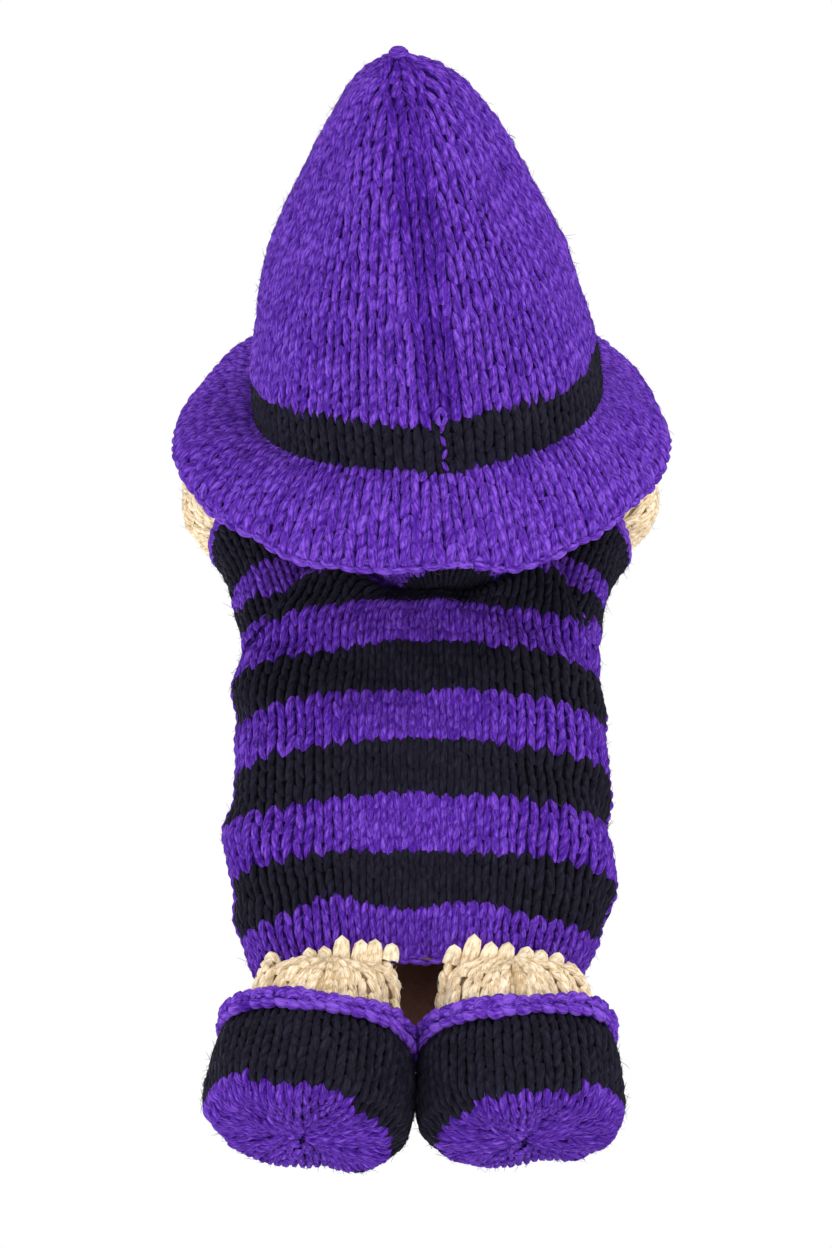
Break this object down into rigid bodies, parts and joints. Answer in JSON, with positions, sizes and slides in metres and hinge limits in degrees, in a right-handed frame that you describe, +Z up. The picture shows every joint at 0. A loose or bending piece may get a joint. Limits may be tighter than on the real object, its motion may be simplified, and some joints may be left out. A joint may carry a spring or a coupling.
{
  "type": "hand puppet",
  "caption": "Knitted glove puppet of a witch with a striped dress, round hands, chunky shoes and a tall soft hat with a wide brim; head, arms, hands and feet move.",
  "frame": {"origin": "middle of the hand opening, in the plane of the dress's hem", "axes": "+Z up from the hem to the head, -Y the way the puppet faces, +X the puppet's left"},
  "size_m": [0.1486, 0.1674, 0.3013],
  "materials": {
    "purple_yarn": "matte",
    "black_yarn": "matte",
    "cream_yarn": "matte",
    "brown_lining": "matte",
    "white_filling": "matte",
    "red_yarn": "matte",
    "black_bead": "glossy"
  },
  "bodies": {
    "dress": {"dress_back": "purple_yarn", "dress_front": "purple_yarn", "left_seam_yarn": "purple_yarn", "right_seam_yarn": "purple_yarn", "hand_lining": "brown_lining", "neckline_tie": "purple_yarn", "left_leg_edge": "cream_yarn", "right_leg_edge": "cream_yarn"},
    "neck": {"neck_tube": "cream_yarn"},
    "head": {"head_cover": "cream_yarn", "head_stuffing": "white_filling", "left_eye": "black_bead", "right_eye": "black_bead", "nose": "cream_yarn", "mouth_yarn": "red_yarn", "hat_brim": "purple_yarn", "hat_band": "black_yarn", "hat_crown": "purple_yarn", "hat_stuffing": "white_filling", "hat_seam_yarn": "purple_yarn", "hat_tip_yarn": "purple_yarn"},
    "left_arm": {"left_sleeve": "black_yarn"},
    "left_mitt": {"left_hand": "cream_yarn", "left_hand_stuffing": "white_filling", "left_wrist_yarn": "cream_yarn"},
    "left_foot": {"left_leg": "cream_yarn", "left_leg_stuffing": "white_filling", "left_shoe_cuff": "purple_yarn", "left_shoe_upper": "black_yarn", "left_shoe_sole": "purple_yarn", "left_shoe_stuffing": "white_filling"},
    "right_arm": {"right_sleeve": "black_yarn"},
    "right_mitt": {"right_hand": "cream_yarn", "right_hand_stuffing": "white_filling", "right_wrist_yarn": "cream_yarn"},
    "right_foot": {"right_leg": "cream_yarn", "right_leg_stuffing": "white_filling", "right_shoe_cuff": "purple_yarn", "right_shoe_upper": "black_yarn", "right_shoe_sole": "purple_yarn", "right_shoe_stuffing": "white_filling"}
  },
  "joints": [
    {"name": "head_nod", "type": "hinge", "parent": "dress", "child": "neck", "pos_m": [-0.008, 0.002, 0.125], "axis": [1, 0, 0], "range_deg": [-8, 25]},
    {"name": "head_turn", "type": "hinge", "parent": "neck", "child": "head", "pos_m": [-0.008, 0.002, 0.125], "axis": [0.0862, 0.7071, 0.7018], "range_deg": [-25, 25]},
    {"name": "left_shoulder", "type": "hinge", "parent": "dress", "child": "left_arm", "pos_m": [0.04, 0, 0.1125], "axis": [0, 1, 0], "range_deg": [-2, 40]},
    {"name": "right_shoulder", "type": "hinge", "parent": "dress", "child": "right_arm", "pos_m": [-0.04, 0, 0.1125], "axis": [0, -1, 0], "range_deg": [-2, 40]},
    {"name": "left_wrist", "type": "hinge", "parent": "left_arm", "child": "left_mitt", "pos_m": [0.05006, -0.0163, 0.14647], "axis": [1, 0, 0], "range_deg": [-12, 12], "stiffness_Nm_per_rad": 0.03},
    {"name": "right_wrist", "type": "hinge", "parent": "right_arm", "child": "right_mitt", "pos_m": [-0.05006, -0.0163, 0.14647], "axis": [1, 0, 0], "range_deg": [-12, 12], "stiffness_Nm_per_rad": 0.03},
    {"name": "left_hip", "type": "hinge", "parent": "dress", "child": "left_foot", "pos_m": [0.026, 0.027, -0.0012], "axis": [1, 0, 0], "range_deg": [-15, 40], "stiffness_Nm_per_rad": 0.03},
    {"name": "right_hip", "type": "hinge", "parent": "dress", "child": "right_foot", "pos_m": [-0.026, 0.027, -0.0012], "axis": [1, 0, 0], "range_deg": [-15, 40], "stiffness_Nm_per_rad": 0.03}
  ]
}
